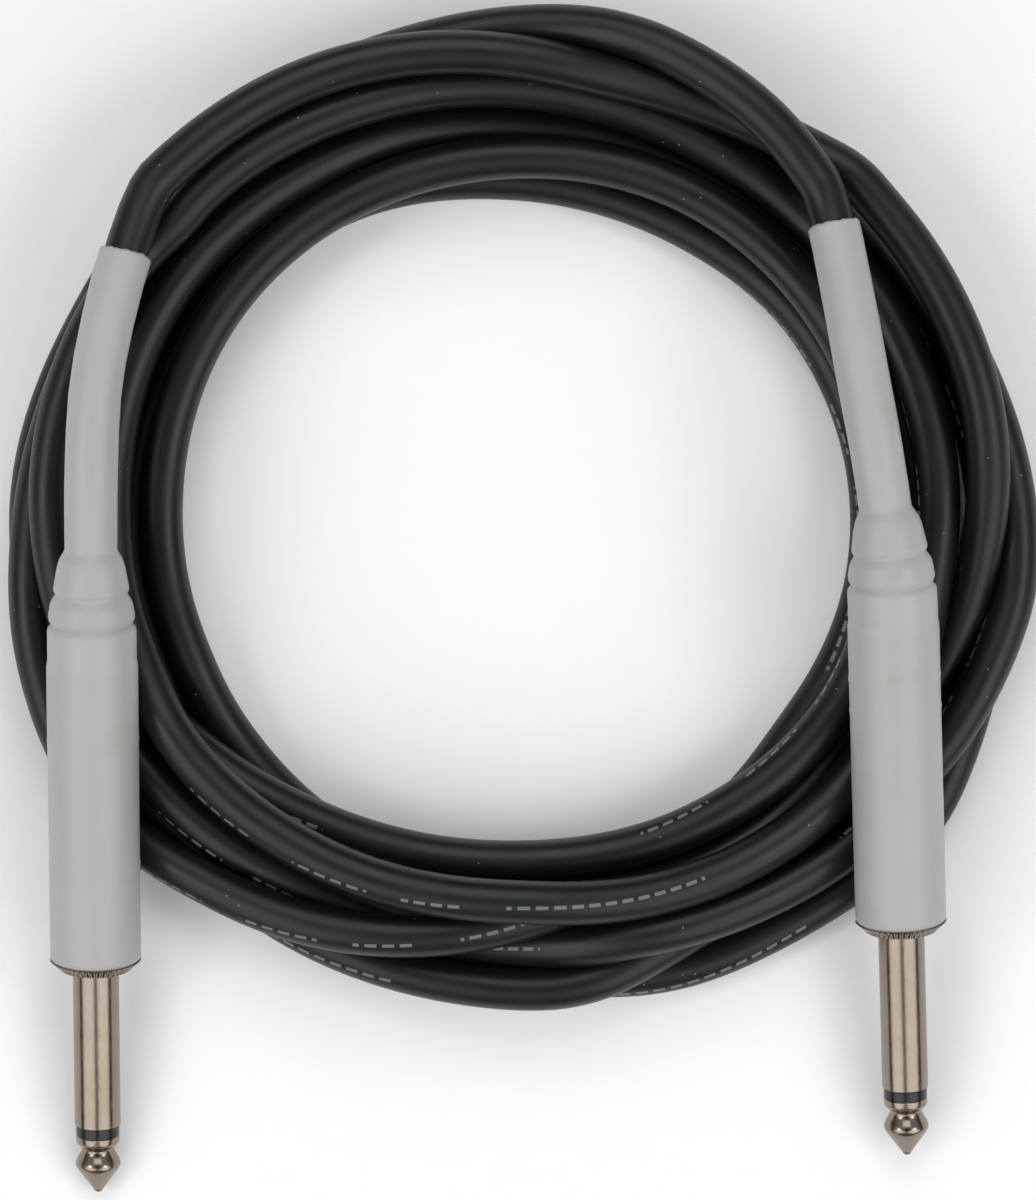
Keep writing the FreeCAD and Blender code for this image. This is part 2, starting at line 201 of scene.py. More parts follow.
def softened(profile, edge=0.07):
    """A profile of (radius, u) corners with each corner cut back to a small flat.

    A corner becomes two points, `edge` away from it along both of its sides, or a third of a
    side that is shorter than three edges. Points on the axis stay as they are.
    """
    points = np.array(profile, float)
    out = [points[0]]
    for before, at, after in zip(points[:-2], points[1:-1], points[2:]):
        for end in (before, after):
            side = end - at
            length = np.linalg.norm(side)
            out.append(at + side * min(edge / length, 1 / 3))
    return np.array(out + [points[-1]])


def turned(name, side, profile, sides=96, relief=None, sharp_deg=28):
    """Solid of revolution about a plug's axis, from a profile of (radius, u).

    A point is axis(u) + (radius + relief(angle, radius, u)) * (across * cos + up * sin). The
    profile ends on the axis, or where it began, and then the solid is a ring.
    """
    profile = np.asarray(profile, float)
    wraps = bool(np.allclose(profile[0], profile[-1]))
    outline = profile[:-1] if wraps else profile
    angle = np.arange(sides) * 2 * math.pi / sides
    radius = np.repeat(outline[:, :1], sides, 1)
    u = np.repeat(outline[:, 1:], sides, 1)
    if relief:
        radius = radius + relief(angle[None, :], radius, u)
    plug = PLUGS[side]
    spoke = np.multiply.outer(np.cos(angle), plug["across"])
    spoke = spoke + np.multiply.outer(np.sin(angle), plug["up"])
    grid = plug["face"] + u[..., None] * plug["ahead"] + radius[..., None] * spoke[None]
    steps = np.linalg.norm(np.diff(profile, axis=0), axis=1)
    along = np.concatenate([[0.0], np.cumsum(steps)])
    return skin(name, grid, along, wraps, sharp_deg)


# ---- The cable's line


def between(values, at):
    """Cubic through evenly spaced values, read at fractional places, that passes each value."""
    low = np.clip(np.floor(at).astype(int), 0, len(values) - 2)
    t = at - low
    a, b, c, d = (values[np.clip(low + k, 0, len(values) - 1)] for k in (-1, 0, 1, 2))
    return b + t * (c - a + t * (2 * a - 5 * b + 4 * c - d + t * (3 * b - a - 3 * c + d))) / 2


def level(values, share):
    """Each value moves by a share towards the middle of its two neighbours."""
    out = values.copy()
    out[1:-1] += share * ((values[:-2] + values[2:]) / 2 - values[1:-1])
    return out


# How the turns settle: rounds while they fall and after, how far they fall in each, what
# share of the way back to the laid radius they are pulled, at the bottom and for each layer
# further up, how far neighbours along the cable even out, what share of an overlap is undone
# sideways and upwards, and how near two strands may lie, in diameters
SETTLE_ROUNDS = 1300
REST_ROUNDS = 250
TURN_STEP_DEG = 5
LAYER_HEIGHT = 7.0
FALL = 0.06
PULL = 0.1
PULL_AT_BOTTOM = 0.25
LAYERS = 7
EVEN_OUT = 0.35
PUSH_OUT = 0.6
PUSH_UP = 0.9
TOUCH = 1.03
# The gap kept under the plugs, how high the ceiling starts, and a height that stops nothing
PLUG_GAP = 0.2
CEILING_START = 60.0
NO_CEILING = 1000.0


def plug_spine(side):
    """Points along a plug's handle and neck, with how near the cable's centre may come."""
    handle = on_axis(side, np.arange(-1.0, NECK_START, -1.5))
    neck = np.array([on_axis(side, NECK_START)] + [COIL_CENTRE + p for p in ROUTE[side]])
    steps = np.arange(0.0, len(neck) - 1.05, 0.06)
    neck = np.stack([np.interp(steps, np.arange(len(neck)), neck[:, k]) for k in range(3)], 1)
    reach = np.full(len(handle) + len(neck), COLLAR_R + CABLE_R + PLUG_GAP)
    reach[len(handle):] = CABLE_R + SLEEVE_WALL + CABLE_R + PLUG_GAP
    return np.concatenate([handle, neck]), reach


def ceiling(place, spines):
    """Greatest height that each plan position leaves for a cable's centre under the plugs.

    Beside a point of a spine the height is the spine's, less the drop of a circle of the
    reach's radius at that distance.
    """
    highest = np.full(len(place), NO_CEILING)
    for spine, reach in spines:
        beside = np.linalg.norm(place[:, None] - spine[None, :, :2], axis=2)
        drop = np.sqrt(np.clip(reach**2 - beside**2, 0, None))
        under = np.where(beside < reach, spine[:, 2] - drop, NO_CEILING)
        highest = np.minimum(highest, under.min(1))
    return np.maximum(highest, CABLE_R)


def settle_turns():
    """Centre points of the coil's turns, every TURN_STEP_DEG, after they have settled.

    Each point has a radius and a height at its own angle. It starts at the listed radius,
    stacked in the listed order. Then every point falls a little and is pulled back to its
    radius, neighbours along the cable even out, and any two points of the same angle that are
    nearer than a diameter are pushed apart along the line between them.
    the table, and a ceiling that comes down with the turns keeps them under the plugs.
    """
    angle_deg = np.arange(FIRST_DEG, LAST_DEG + 1, TURN_STEP_DEG, dtype=float)
    stations = np.concatenate([np.array(row) for row in TURN_RADII])
    at = angle_deg / STATION_DEG - 1
    laid = between(stations, at)
    order = [
        TURN_ORDER[k % STATIONS].find(str(k // STATIONS + 1)) for k in range(len(stations))
    ]
    order[-1] = order[-2]
    rank = np.interp(at, np.arange(len(stations)), order)
    radius = laid.copy()
    height = CABLE_R + LAYER_HEIGHT * rank
    pull = PULL * (PULL_AT_BOTTOM + (1 - PULL_AT_BOTTOM) * rank / LAYERS)
    per_turn = 360 // TURN_STEP_DEG
    count = len(angle_deg)
    turn = np.radians(angle_deg)
    outward = np.stack([-np.cos(turn), np.sin(turn)], 1)
    spines = [plug_spine(side) for side in SIDES]
    ends = [(0, ROUTE["left"][-1]), (-1, ROUTE["right"][-1])]
    for tick in range(SETTLE_ROUNDS + REST_ROUNDS):
        height = height - (FALL if tick < SETTLE_ROUNDS else 0.0)
        radius = radius + pull * (laid - radius)
        for _ in range(2):
            height = level(height, EVEN_OUT)
            radius = laid + level(radius - laid, EVEN_OUT)
        still_up = max(0.0, CEILING_START - FALL * tick)
        roof = ceiling(COIL_CENTRE[:2] + outward * radius[:, None], spines) + still_up
        for _ in range(3):
            move_out = np.zeros(count)
            move_up = np.zeros(count)
            for turns_apart in range(1, len(TURN_RADII)):
                k = per_turn * turns_apart
                out = radius[k:] - radius[:-k]
                up = height[k:] - height[:-k]
                apart = np.hypot(out, up) + 1e-9
                push = np.clip(2 * CABLE_R * TOUCH - apart, 0, None) / 2 / apart
                move_out[:-k] -= PUSH_OUT * out * push
                move_out[k:] += PUSH_OUT * out * push
                move_up[:-k] -= PUSH_UP * up * push
                move_up[k:] += PUSH_UP * up * push
            radius = radius + move_out
            height = np.clip(height + move_up, CABLE_R, roof)
        for end, point in ends:
            radius[end] = math.hypot(point[0], point[1])
            height[end] = point[2] + still_up
    place = COIL_CENTRE[:2] + outward * radius[:, None]
    return np.concatenate([place, height[:, None]], 1)


def plug_route(side):
    """Route points from the jacket's end inside a handle to the cable's first turn."""
    bend = on_axis(side, NECK_START - BEND_AT[side])
    free = [COIL_CENTRE + np.array(point) for point in ROUTE[side]]
    straight = np.linalg.norm(free[0] - bend)
    hold = bend + PLUGS[side]["ahead"] * straight
    return [on_axis(side, JACKET_END), hold, bend] + free[:-1]


def smooth_line(points, name="cable_route"):
    """Points along the smooth spline whose control points are the route's points."""
    curve = bpy.data.curves.new(name, "CURVE")
    curve.dimensions = "3D"
    spline = curve.splines.new("NURBS")
    spline.points.add(len(points) - 1)
    flat = np.concatenate([np.asarray(points) * MM, np.ones((len(points), 1))], 1)
    spline.points.foreach_set("co", flat.ravel())
    spline.order_u = 3
    spline.use_endpoint_u = True
    spline.resolution_u = 4
    holder = bpy.data.objects.new(name, curve)
    mesh = bpy.data.meshes.new_from_object(holder)
    line = np.empty(len(mesh.vertices) * 3)
    mesh.vertices.foreach_get("co", line)
    bpy.data.objects.remove(holder)
    bpy.data.curves.remove(curve)
    bpy.data.meshes.remove(mesh)
    line = line.reshape(-1, 3) / MM
    steps = np.linalg.norm(np.diff(line, axis=0), axis=1)
    return line[np.concatenate([[True], steps > 1e-4])]


def cable_line():
    """The cable's centre line and the length along it, from the left plug to the right one."""
    turns = settle_turns()
    points = plug_route("left") + list(turns) + plug_route("right")[::-1]
    line = smooth_line(points)
    steps = np.linalg.norm(np.diff(line, axis=0), axis=1)
    return line, np.concatenate([[0.0], np.cumsum(steps)])


CABLE_LINE, CABLE_AT = cable_line()


def steady_frames(line):
    """Two directions square to a line at each point, that never twist about it.

    Each first direction is the last one with its part along the new tangent taken away.
    """
    tangent = np.gradient(line, axis=0)
    tangent /= np.linalg.norm(tangent, axis=1)[:, None]
    first = np.empty_like(line)
    ahead = np.array([0.0, 0.0, 1.0])
    for k, direction in enumerate(tangent):
        ahead = ahead - direction * (ahead @ direction)
        ahead = ahead / np.linalg.norm(ahead)
        first[k] = ahead
    return tangent, first, np.cross(tangent, first)


# ---- Pieces


def cable():
    """Round lead: circles of CABLE_R square to the centre line, shrunk to a pole at each end."""
    tangent, first, second = steady_frames(CABLE_LINE)
    angle = np.arange(CABLE_SIDES) * 2 * math.pi / CABLE_SIDES
    spoke = first[:, None] * np.cos(angle)[:, None] + second[:, None] * np.sin(angle)[:, None]
    rings = CABLE_LINE[:, None] + CABLE_R * spoke
    poles = [np.repeat(CABLE_LINE[k][None, None], CABLE_SIDES, 1) for k in (0, -1)]
    grid = np.concatenate([poles[0], rings, poles[1]])
    along = np.concatenate([[0.0], CABLE_AT, CABLE_AT[-1:]])
    lead = skin("cable", grid, along)
    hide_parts("cable_coil", "left_cable_end", "right_cable_end")
    return lead


def sleeve_line(side, distance):
    """The sleeve's centre points at distances behind the collar's face.

    Up to the jacket's end they lie on the plug's axis, and from there on the cable's line.
    """
    line, at = (CABLE_LINE, CABLE_AT) if side == "left" else (CABLE_LINE[::-1], CABLE_AT)
    if side == "right":
        at = CABLE_AT[-1] - CABLE_AT[::-1]
    on_cable = np.stack([np.interp(distance + JACKET_END, at, line[:, k]) for k in range(3)], -1)
    behind_jacket = (distance > -JACKET_END)[..., None]
    return np.where(behind_jacket, on_cable, on_axis(side, -distance))


# Distances behind the collar's face of each sleeve's end and of the faint rings round it
SLEEVE_END = {side: -NECK_START + NECK_LENGTH[side] for side in SIDES}
RING_MARKS = {"left": (15.0, 32.6), "right": (31.4, 36.0)}
RING_MARK_HEIGHT = 0.09
RING_MARK_WIDTH = 0.3
LIP_LENGTH = 0.45
LIP_DEPTH = 0.3
SLEEVE_SIDES = 72


def sleeve_radius(side, distance):
    """Outer radius of a shrunk sleeve: what lies under it, rounded off, and the wall."""
    corners = [(0.0, HANDLE_R), (-HANDLE_STEP, HANDLE_R), (-HANDLE_STEP + 0.5, HANDLE_REAR_R)]
    corners += [(-HANDLE_END, HANDLE_REAR_R)]
    corners += [(-HANDLE_END + at, r) for at, r in RELIEF_BUMPS]
    corners += [(-NECK_START + 0.6, CABLE_R), (SLEEVE_END[side] + 5, CABLE_R)]
    places, radii = np.array(corners).T
    fine = np.arange(0.0, SLEEVE_END[side] + 4, 0.1)
    radius = np.interp(fine, places, radii)
    window = np.hanning(9)
    radius = np.convolve(np.pad(radius, 4, mode="edge"), window / window.sum(), mode="valid")
    return np.interp(distance, fine, radius) + SLEEVE_WALL


def shrunk_sleeve(side):
    """White sleeve over a handle and its cable: rings along sleeve_line, out and back inside.

    Outer radius is sleeve_radius, plus slow ripples, a fine ridge at each ring mark, and a
    rounded lip at both ends. The cable end is cut a little unevenly: each point of a ring lies
    further along by a share of the unevenness at its angle.
    """
    end = SLEEVE_END[side]
    angle = np.arange(SLEEVE_SIDES) * 2 * math.pi / SLEEVE_SIDES
    on_handle, on_neck = np.linspace(COLLAR_LENGTH, 50.0, 110), np.linspace(50.25, end, 190)
    out_rows = np.concatenate([on_handle, on_neck])
    in_rows = np.linspace(end, COLLAR_LENGTH, 70)
    lean = 0.7 if side == "left" else 2.1
    uneven = 0.16 * np.sin(2 * angle + lean) + 0.05 * np.sin(9 * angle + 2 * lean)
    uneven = uneven + 0.05 * np.sin(17 * angle + 3 * lean) - 0.26

    distance = np.concatenate([out_rows, in_rows])[:, None] + np.zeros(SLEEVE_SIDES)
    late = np.clip((distance - end + 3) / 3, 0, 1)
    distance = distance + late**3 * uneven
    radius = sleeve_radius(side, distance)
    is_neck = 1 / (1 + np.exp(-(distance + NECK_START) / 1.5))
    wave = np.sin(distance / 5.1 + lean) * np.cos(2 * angle + lean)
    wave = wave + 0.6 * np.sin(distance / 2.3 + 3 * angle + lean)
    ripple = wave * (0.01 + 0.02 * is_neck)
    ripple = np.minimum(ripple, 0.07) - 0.03
    for mark in RING_MARKS[side]:
        tilt = 0.25 * np.sin(angle + lean)
        from_mark = (distance - mark - tilt) / RING_MARK_WIDTH
        ripple = ripple + RING_MARK_HEIGHT * np.exp(-(from_mark**2))
    from_ends = np.minimum(distance - COLLAR_LENGTH, end + uneven - distance)
    lip = LIP_DEPTH * (1 - np.sqrt(1 - (1 - np.clip(from_ends / LIP_LENGTH, 0, 1)) ** 2))
    outer = radius + ripple - lip
    inner = radius - SLEEVE_WALL + FIT
    radius = np.concatenate([outer[: len(out_rows)], inner[len(out_rows):]])

    centre = sleeve_line(side, distance)
    tangent = centre - sleeve_line(side, distance - 0.5)
    tangent /= np.linalg.norm(tangent, axis=-1, keepdims=True)
    across = PLUGS[side]["across"] - tangent * (tangent @ PLUGS[side]["across"])[..., None]
    across /= np.linalg.norm(across, axis=-1, keepdims=True)
    up = np.cross(-tangent, across)
    spoke = across * np.cos(angle)[:, None] + up * np.sin(angle)[:, None]
    grid = centre + radius[..., None] * spoke
    along = np.concatenate([out_rows, in_rows, out_rows[:1]])
    sleeve = skin(side + "_sleeve", grid, along, wraps=True, sharp_deg=50)
    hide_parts(side + "_shrink_sleeve")
    return sleeve


# Where the pin's and the ring's closed outlines begin and end, inside their bores
PIN_SEAM = 12.0
RING_SEAM = 5.0
PIN_EDGE = 0.12
FLUTES = 44
FLUTE_DEPTH = 0.5


def flutes(angle, radius, u):
    """Grooves across the collar's chamfer: a rounded comb of FLUTES, deepest half way along."""
    comb = np.abs(np.sin(angle * FLUTES / 2)) ** 0.7 - 1
    share = np.clip(-u / COLLAR_LENGTH, 0, 1)
    window = np.sin(math.pi * np.clip(share * 0.92 + 0.04, 0, 1)) ** 0.5
    on_chamfer = (u < -1e-6) & (u > -COLLAR_LENGTH + 1e-6) & (radius > COLLAR_FACE_R)
    return np.where(on_chamfer, FLUTE_DEPTH * comb * window, 0.0)


def pin(side):
    """Hollow pin with its fluted collar and threaded boss, as one turned piece."""
    mouth = [(PIN_BORE_R, PIN_SEAM), (PIN_BORE_R, PIN_LENGTH), (PIN_R, PIN_LENGTH), (PIN_R, 0.0)]
    barrel = [tuple(point) for point in softened(mouth, PIN_EDGE)[:-1]]
    barrel += [(PIN_R, PIN_EDGE), (PIN_R + PIN_EDGE, 0.0)]
    rise = np.linspace(0, 1, 13)
    radii = COLLAR_FACE_R + (COLLAR_R - COLLAR_FACE_R) * rise
    chamfer = list(zip(radii, -COLLAR_LENGTH * rise))
    thread = []
    turns = int((-BOSS_END - COLLAR_LENGTH) / THREAD_PITCH)
    for turn in range(turns):
        crest = -COLLAR_LENGTH - (turn + 0.5) * THREAD_PITCH
        thread += [(THREAD_R, crest), (THREAD_R - THREAD_DEPTH, crest - THREAD_PITCH / 2)]
    boss = [(THREAD_R, -COLLAR_LENGTH)] + thread + [(PIN_BORE_R, BOSS_END), (PIN_BORE_R, PIN_SEAM)]
    piece = turned(side + "_pin", side, barrel + chamfer + boss, 8 * FLUTES, flutes)
    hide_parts(side + "_sleeve_contact")
    return piece


def insulator(side):
    """Black ring between pin and tip, on the tube that lines the pin."""
    bore = ROD_R + FIT
    tube_r = PIN_BORE_R - FIT
    corners = [(bore, RING_SEAM), (bore, RING_FRONT), (RING_R, RING_FRONT), (RING_R, PIN_LENGTH)]
    corners += [(tube_r, PIN_LENGTH), (tube_r, GROUND_DISC_END), (bore, GROUND_DISC_END), (bore, RING_SEAM)]
    piece = turned(side + "_ring", side, softened(corners, 0.08))
    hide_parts(side + "_tip_insulator")
    return piece


GROOVE_AT = 1.95
GROOVE_R = 2.25
BULGE_AT = 4.2
BULGE_R = 3.1
NOSE_R = 0.6
NOSE_LENGTH = 0.35


def tip(side):
    """Tip with its rod: a collar, a groove, a bulge and a cone with a rounded nose.

    Half waves of a cosine join collar, groove and bulge, and the cone falls as a straight line
    that leaves the bulge on a short curve.
    """
    wave = (1 - np.cos(np.linspace(0, math.pi, 12))) / 2
    down_u = RING_FRONT + 0.8 + (GROOVE_AT - 0.8) * np.linspace(0, 1, 12)
    down_r = TIP_COLLAR_R + (GROOVE_R - TIP_COLLAR_R) * wave
    rise_u = RING_FRONT + GROOVE_AT + (BULGE_AT - GROOVE_AT) * np.linspace(0, 1, 12)[1:]
    rise_r = GROOVE_R + (BULGE_R - GROOVE_R) * wave[1:]
    share = np.linspace(0, 1, 20)[1:]
    cone_u = RING_FRONT + BULGE_AT + (TIP_END - NOSE_LENGTH - RING_FRONT - BULGE_AT) * share
    cone_r = BULGE_R - (BULGE_R - NOSE_R) * (share - 0.10 * (1 - np.exp(-share / 0.10))) / 0.90
    turn = np.linspace(0, math.pi / 2, 7)[1:]
    nose_u = TIP_END - NOSE_LENGTH + NOSE_LENGTH * np.sin(turn)
    nose_r = cone_r[-1] * np.cos(turn)
    head_end = ROD_END + ROD_HEAD_LENGTH
    rod = softened(
        [(0.0, ROD_END), (ROD_HEAD_R, ROD_END), (ROD_HEAD_R, head_end), (ROD_R, head_end),
         (ROD_R, RING_FRONT), (TIP_COLLAR_R, RING_FRONT), (TIP_COLLAR_R, down_u[0])], 0.06
    )  # fmt: skip
    shape_r = np.concatenate([rod[:, 0], down_r[1:], rise_r, cone_r, nose_r])
    shape_u = np.concatenate([rod[:, 1], down_u[1:], rise_u, cone_u, nose_u])
    shape_r[-1] = 0.0
    piece = turned(side + "_tip", side, np.stack([shape_r, shape_u], 1))
    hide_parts(side + "_tip_contact")
    return piece


# ---- Materials

# The kinds of node used most. A number names an input where a name would be unclear: a mix
# takes its share at 0 and its two colours at 6 and 7, and a range takes its value at 0, what
# that runs from and to at 1 and 2, and what it becomes at 3 and 4.
PLACE = "ShaderNodeTexCoord"
NOISE = "ShaderNodeTexNoise"
CELLS = "ShaderNodeTexVoronoi"
MIX = "ShaderNodeMix"
RANGE = "ShaderNodeMapRange"
MATH = "ShaderNodeMath"
BUMP = "ShaderNodeBump"


def linear(code):
    """sRGB hex code as the linear colour that shaders take, with full alpha."""
    parts = [int(code[k : k + 2], 16) / 255 for k in (1, 3, 5)]
    return [c / 12.92 if c <= 0.04045 else ((c + 0.055) / 1.055) ** 2.4 for c in parts] + [1.0]


def link_up(tree, node, links):
    """Links each socket to the node's input of that name or number."""
    for key, socket in links.items():
        tree.links.new(socket, node.inputs[key])


def add_node(tree, kind, settings=None, links=None):
    """Adds a node, sets its properties or its inputs' values, and links sockets into it."""
    node = tree.nodes.new(kind)
    for key, value in (settings or {}).items():
        if isinstance(key, str) and hasattr(node, key):
            setattr(node, key, value)
        else:
            node.inputs[key].default_value = value
    link_up(tree, node, links or {})
    return node


def start_material(name, settings):
    """Material with a shader that has these settings, linked to its output."""
    material = bpy.data.materials.new(name)
    material.use_nodes = True
    tree = material.node_tree
    tree.nodes.clear()
    shader = add_node(tree, "ShaderNodeBsdfPrincipled", settings)
    add_node(tree, "ShaderNodeOutputMaterial", links={"Surface": shader.outputs[0]})
    return material, tree, shader


def grained(name, colours, grain_mm, depth_mm, gloss, settings):
    """Finish in which one noise moves the colour and roughness between two values each.

    The noise has lumps of grain_mm, and lifts the surface by depth_mm.
    """
    material, tree, shader = start_material(name, settings)
    place = add_node(tree, PLACE).outputs["Object"]
    noise = add_node(tree, NOISE, {"Scale": 1 / (grain_mm * MM), "Detail": 3.0}, {"Vector": place})
    grain = noise.outputs["Fac"]
    tones = {"data_type": "RGBA", 6: linear(colours[0]), 7: linear(colours[1])}
    colour = add_node(tree, MIX, tones, {0: grain})
    rough = add_node(tree, RANGE, {1: 0.3, 2: 0.7, 3: gloss[0], 4: gloss[1]}, {0: grain})
    relief = add_node(tree, BUMP, {"Distance": depth_mm * MM}, {"Height": grain})
    link_up(
        tree, shader,
        {"Base Color": colour.outputs[2], "Roughness": rough.outputs[0], "Normal": relief.outputs[0]},
    )  # fmt: skip
    return material


# Where the dashes that stand for print lie: how far along the cable each set repeats, the
# groups in a set as shares of it, how far along the row goes once round the cable, as one
# coiled by hand does about once a turn, and how far along it starts
PRINT_REPEAT = 118.0
PRINT_GROUPS = [(0.00, 0.23), (0.28, 0.35), (0.39, 0.48), (0.53, 0.62)]
PRINT_TWIST = 360.0
PRINT_LEAD = 154.0
DASH_PITCH = 2.3
DASH_SHARE = 0.68
DASH_HEIGHT = 0.5
SPECK_SPACING = 2.6


def dash_row(tree, place):
    """Value socket that is 1 on the plain dashes in a slowly turning row along the cable."""
    parts = add_node(tree, "ShaderNodeSeparateXYZ", links={0: place.outputs["UV"]})
    along, around = parts.outputs[0], parts.outputs[1]
    turned_by = add_node(tree, MATH, {"operation": "SUBTRACT", 1: PRINT_LEAD}, {0: along})
    turned_by = add_node(tree, MATH, {"operation": "DIVIDE", 1: PRINT_TWIST}, {0: turned_by.outputs[0]})
    lifted = add_node(tree, MATH, {"operation": "ADD"}, {0: around, 1: turned_by.outputs[0]})
    share = add_node(tree, MATH, {"operation": "FRACT"}, {0: lifted.outputs[0]})
    half = DASH_HEIGHT / (4 * math.pi * CABLE_R)
    in_row = add_node(tree, MATH, {"operation": "COMPARE", 1: 0.5, 2: half}, {0: share.outputs[0]})
    in_set = add_node(tree, MATH, {"operation": "DIVIDE", 1: PRINT_REPEAT}, {0: along})
    in_set = add_node(tree, MATH, {"operation": "FRACT"}, {0: in_set.outputs[0]})
    printed = None
    for start, end in PRINT_GROUPS:
        middle = {"operation": "COMPARE", 1: (start + end) / 2, 2: (end - start) / 2}
        group = add_node(tree, MATH, middle, {0: in_set.outputs[0]})
        if printed:
            both = {0: printed.outputs[0], 1: group.outputs[0]}
            group = add_node(tree, MATH, {"operation": "ADD"}, both)
        printed = group
    dash = add_node(tree, MATH, {"operation": "DIVIDE", 1: DASH_PITCH}, {0: along})
    dash = add_node(tree, MATH, {"operation": "FRACT"}, {0: dash.outputs[0]})
    dash = add_node(tree, MATH, {"operation": "LESS_THAN", 1: DASH_SHARE}, {0: dash.outputs[0]})
    ink = add_node(tree, MATH, {"operation": "MULTIPLY"}, {0: in_row.outputs[0], 1: printed.outputs[0]})
    shown = add_node(tree, MATH, {"operation": "MULTIPLY"}, {0: ink.outputs[0], 1: dash.outputs[0]})
    return shown.outputs[0]


def soft_vinyl():
    """Extruded soft PVC: near black, with a broad satin sheen and a fine orange peel.

    Handling leaves it slightly uneven in tone, and specks of dust cling to it.
    """
    material, tree, shader = start_material("soft_black_vinyl", {"Specular IOR Level": 0.4})
    place = add_node(tree, PLACE)
    on_object = {"Vector": place.outputs["Object"]}
    handled = add_node(tree, NOISE, {"Scale": 1 / (9 * MM), "Detail": 4.0}, on_object).outputs["Fac"]
    black = {"data_type": "RGBA", 6: linear("#0a0b0c"), 7: linear("#131517")}
    base = add_node(tree, MIX, black, {0: handled})
    cells = add_node(tree, CELLS, {"Scale": 1 / (SPECK_SPACING * MM)}, on_object)
    speck = add_node(tree, MATH, {"operation": "LESS_THAN", 1: 0.045}, {0: cells.outputs["Distance"]})
    chance = add_node(tree, "ShaderNodeSeparateColor", links={0: cells.outputs["Color"]})
    kept = add_node(tree, MATH, {"operation": "GREATER_THAN", 1: 0.35}, {0: chance.outputs[0]})
    speck = add_node(tree, MATH, {"operation": "MULTIPLY"}, {0: speck.outputs[0], 1: kept.outputs[0]})
    ink = add_node(tree, MATH, {"operation": "MULTIPLY", 1: 0.8}, {0: dash_row(tree, place)})
    marks = add_node(tree, MATH, {"operation": "MAXIMUM"}, {0: ink.outputs[0], 1: speck.outputs[0]})
    pale = {"data_type": "RGBA", 7: linear("#747b80")}
    colour = add_node(tree, MIX, pale, {0: marks.outputs[0], 6: base.outputs[2]})
    rough = add_node(tree, RANGE, {1: 0.3, 2: 0.7, 3: 0.35, 4: 0.44}, {0: handled})
    peel = add_node(tree, NOISE, {"Scale": 1 / (0.5 * MM), "Detail": 3.0}, on_object)
    relief = {"Strength": 0.6, "Distance": 0.02 * MM}
    relief = add_node(tree, BUMP, relief, {"Height": peel.outputs["Fac"]})
    link_up(
        tree, shader,
        {"Base Color": colour.outputs[2], "Roughness": rough.outputs[0], "Normal": relief.outputs[0]},
    )  # fmt: skip
    return material


def shrunk_tubing():
    """Shrunk polyolefin tubing: off-white, low in gloss and slightly see-through.

    It is a little cooler in tone between the handle's step and its end, uneven in tone, and
    has a few brown scuffs.
    """
    settings = {"IOR": 1.5, "Subsurface Weight": 0.08, "Subsurface Scale": 0.001}
    material, tree, shader = start_material("white_shrunk_tubing", settings)
    place = add_node(tree, PLACE)
    on_object = {"Vector": place.outputs["Object"]}
    tone = add_node(tree, NOISE, {"Scale": 1 / (14 * MM), "Detail": 3.0}, on_object).outputs["Fac"]
    white = {"data_type": "RGBA", 6: linear("#abaaa7"), 7: linear("#b5b4b3")}
    base = add_node(tree, MIX, white, {0: tone})
    along = add_node(tree, "ShaderNodeSeparateXYZ", links={0: place.outputs["UV"]}).outputs[0]
    # a bluer tone mixed in over a band centred between the handle's step and its end
    middle = {"operation": "SUBTRACT", 1: (-HANDLE_STEP - HANDLE_END) / 2}
    cool_band = add_node(tree, MATH, middle, {0: along})
    cool_band = add_node(tree, MATH, {"operation": "ABSOLUTE"}, {0: cool_band.outputs[0]})
    cool_band = add_node(tree, RANGE, {1: 3.2, 2: 2.4, 3: 0.0, 4: 0.45}, {0: cool_band.outputs[0]})
    cool = {"data_type": "RGBA", 7: linear("#b1b4b9")}
    base = add_node(tree, MIX, cool, {0: cool_band.outputs[0], 6: base.outputs[2]})
    dirt = add_node(tree, NOISE, {"Scale": 1 / (6 * MM), "Detail": 6.0}, on_object)
    dirt = add_node(tree, RANGE, {1: 0.62, 2: 0.75, 3: 0.0, 4: 0.35}, {0: dirt.outputs["Fac"]})
    brown = {"data_type": "RGBA", 7: linear("#a39787")}
    colour = add_node(tree, MIX, brown, {0: dirt.outputs[0], 6: base.outputs[2]})
    rough = add_node(tree, RANGE, {1: 0.3, 2: 0.7, 3: 0.40, 4: 0.52}, {0: tone})
    skin_grain = add_node(tree, NOISE, {"Scale": 1 / (2 * MM), "Detail": 3.0}, on_object)
    relief = {"Strength": 0.5, "Distance": 0.06 * MM}
    relief = add_node(tree, BUMP, relief, {"Height": skin_grain.outputs["Fac"]})
    link_up(
        tree, shader,
        {"Base Color": colour.outputs[2], "Roughness": rough.outputs[0], "Normal": relief.outputs[0]},
    )  # fmt: skip
    return material


